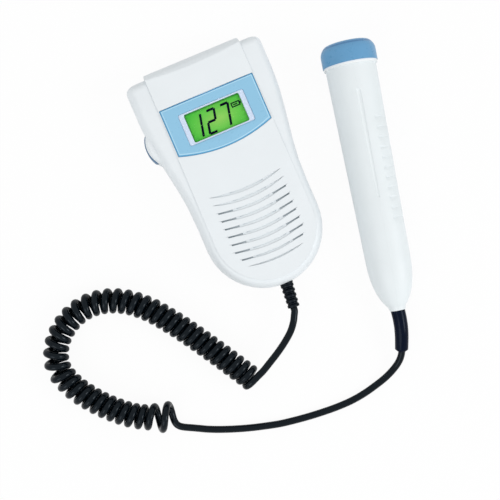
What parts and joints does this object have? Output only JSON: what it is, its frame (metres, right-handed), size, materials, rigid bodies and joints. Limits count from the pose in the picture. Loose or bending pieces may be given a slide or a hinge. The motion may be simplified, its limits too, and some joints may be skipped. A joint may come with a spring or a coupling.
{
  "type": "fetal doppler monitor",
  "caption": "Hand-held fetal heart monitor with display, speaker grille and side button, and a round ultrasound probe on a curly cord.",
  "frame": {"origin": "middle of the case on its resting face, the flat back", "axes": "+Z out of the display, +Y towards the case's display end, +X to the right of the display"},
  "size_m": [0.2473, 0.2216, 0.0322],
  "materials": {
    "white_shell": "satin",
    "back_shell": "satin",
    "blue_bezel": "satin",
    "clear_window": "gloss",
    "lcd_frame": "satin",
    "lcd_green": "gloss",
    "lcd_ink": "matt",
    "diffuser": "matt",
    "circuit_board": "satin",
    "chip_black": "matt",
    "foam": "matt",
    "steel": "satin",
    "cone_paper": "matt",
    "button_blue": "satin",
    "spring_metal": "satin",
    "cell_metal": "satin",
    "cord_black": "satin",
    "collar_white": "satin",
    "cap_blue": "satin",
    "ceramic": "matt",
    "resin": "matt",
    "clamp_nylon": "matt"
  },
  "bodies": {
    "case": {"front_shell": "white_shell", "back_shell": "back_shell", "display_bezel": "blue_bezel", "display_window": "clear_window", "lcd_frame": "lcd_frame", "lcd_glass": "lcd_green", "lcd_digits": "lcd_ink", "lcd_backlight": "diffuser", "main_board": "circuit_board", "board_components": "chip_black", "speaker_gasket": "foam", "speaker_frame": "steel", "speaker_cone": "cone_paper", "speaker_magnet": "steel", "button_switch": "steel", "switch_board": "circuit_board", "battery_cells": "cell_metal", "battery_springs": "spring_metal", "battery_plates": "spring_metal", "case_screws": "steel", "unit_strain_relief": "cord_black", "cord_lead_unit": "cord_black", "cord_curls": "cord_black", "cord_lead_probe": "cord_black"},
    "side_button": {"side_button": "button_blue"},
    "battery_door": {"battery_door": "back_shell"},
    "probe": {"probe_shell_left": "white_shell", "probe_shell_right": "white_shell", "probe_collar": "collar_white", "probe_cap": "cap_blue", "transducer_crystals": "ceramic", "transducer_backing": "resin", "probe_board": "circuit_board", "probe_cable_clamp": "clamp_nylon", "probe_strain_relief": "cord_black"}
  },
  "joints": [
    {"name": "side_button_press", "type": "slide", "parent": "case", "child": "side_button", "axis": [1, 0, 0], "range_m": [0, 0.0006], "stiffness_N_per_m": 1500, "springref_m": -0.0002},
    {"name": "battery_door_slide", "type": "slide", "parent": "case", "child": "battery_door", "axis": [0, 1, 0], "range_m": [0, 0.062]},
    {"name": "probe_lift", "type": "slide", "parent": "case", "child": "probe", "axis": [0, 0, 1], "range_m": [0, 0.05]}
  ]
}
